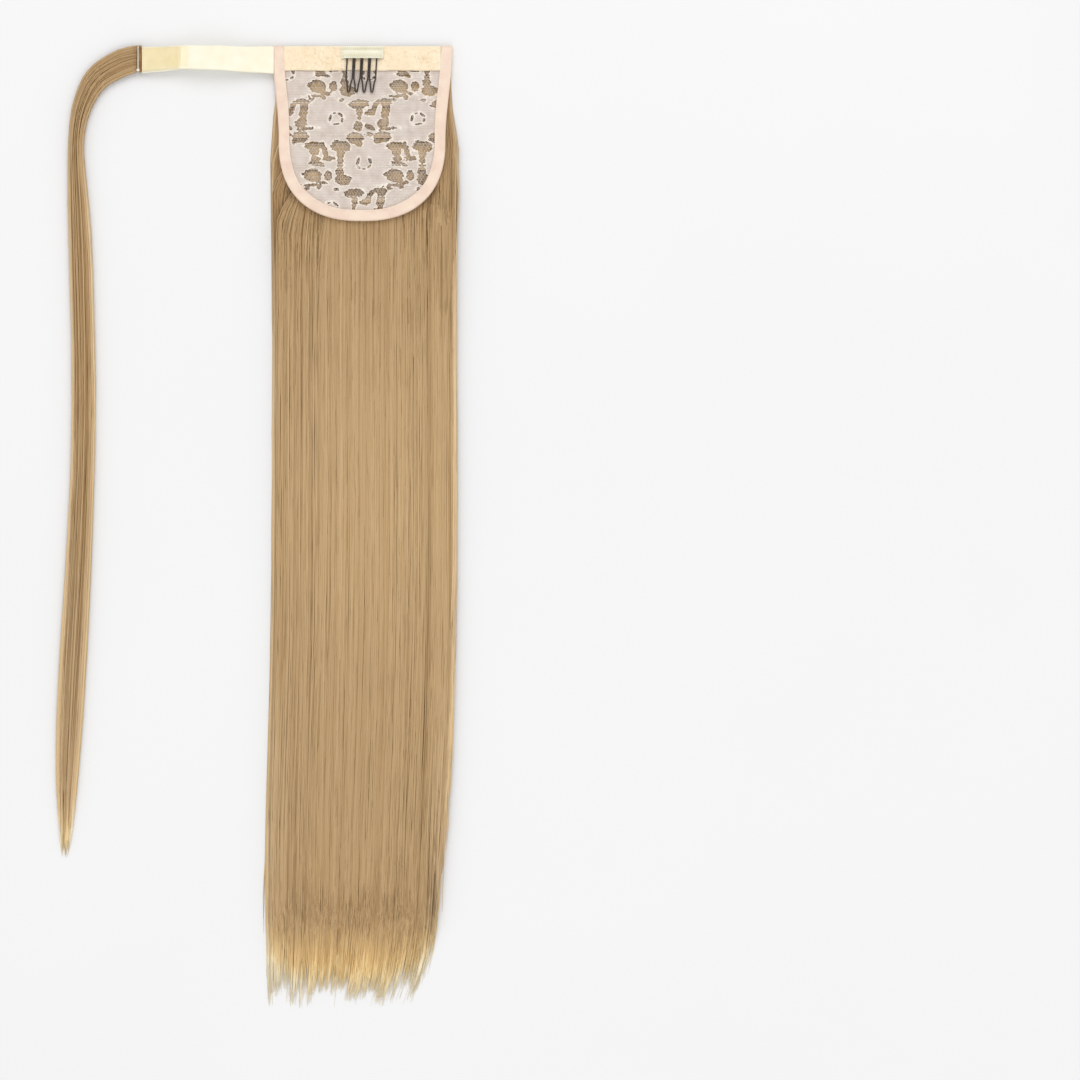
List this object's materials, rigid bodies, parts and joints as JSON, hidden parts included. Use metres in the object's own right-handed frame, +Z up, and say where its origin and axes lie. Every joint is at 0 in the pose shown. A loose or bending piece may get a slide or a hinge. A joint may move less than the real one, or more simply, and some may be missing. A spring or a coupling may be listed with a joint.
{
  "type": "ponytail hairpiece",
  "caption": "Wrap-around ponytail hairpiece lying flat: lace base with comb, side strap with hook patch and wrap strand, and long straight hair on sewn wefts.",
  "frame": {"origin": "middle of the underside of the whole piece as it lies flat, on the surface", "axes": "+Z up out of the inner side, +Y from the tips towards the base's top edge, +X away from the strap"},
  "size_m": [0.3226, 0.7624, 0.0161],
  "materials": {
    "lace": "floral raschel lace with openings, matte",
    "binding": "peach satin bias tape, soft sheen",
    "loop_tape": "brushed loop tape, matte",
    "knit_tape": "knit tape with zigzag stitches, matte",
    "comb_coating": "dark brown coating on steel wire, glossy",
    "strap_tape": "smooth woven nylon tape, satin",
    "hook_tape": "hook tape, rough",
    "weft": "folded hair track with lockstitch, matte",
    "hair": "straight ash blond synthetic fibre, silky"
  },
  "bodies": {
    "root": {"lace_base": "lace", "edge_binding": "binding", "top_band": "loop_tape", "comb": "comb_coating", "comb_cover": "knit_tape", "wrap_strap": "strap_tape", "hook_patch": "hook_tape", "strand_weft": "weft", "wrap_strand": "hair", "weft_1": "weft", "weft_2": "weft", "weft_3": "weft", "weft_4": "weft", "weft_5": "weft", "hair_row_1": "hair", "hair_row_2": "hair", "hair_row_3": "hair", "hair_row_4": "hair", "hair_row_5": "hair"}
  },
  "joints": []
}
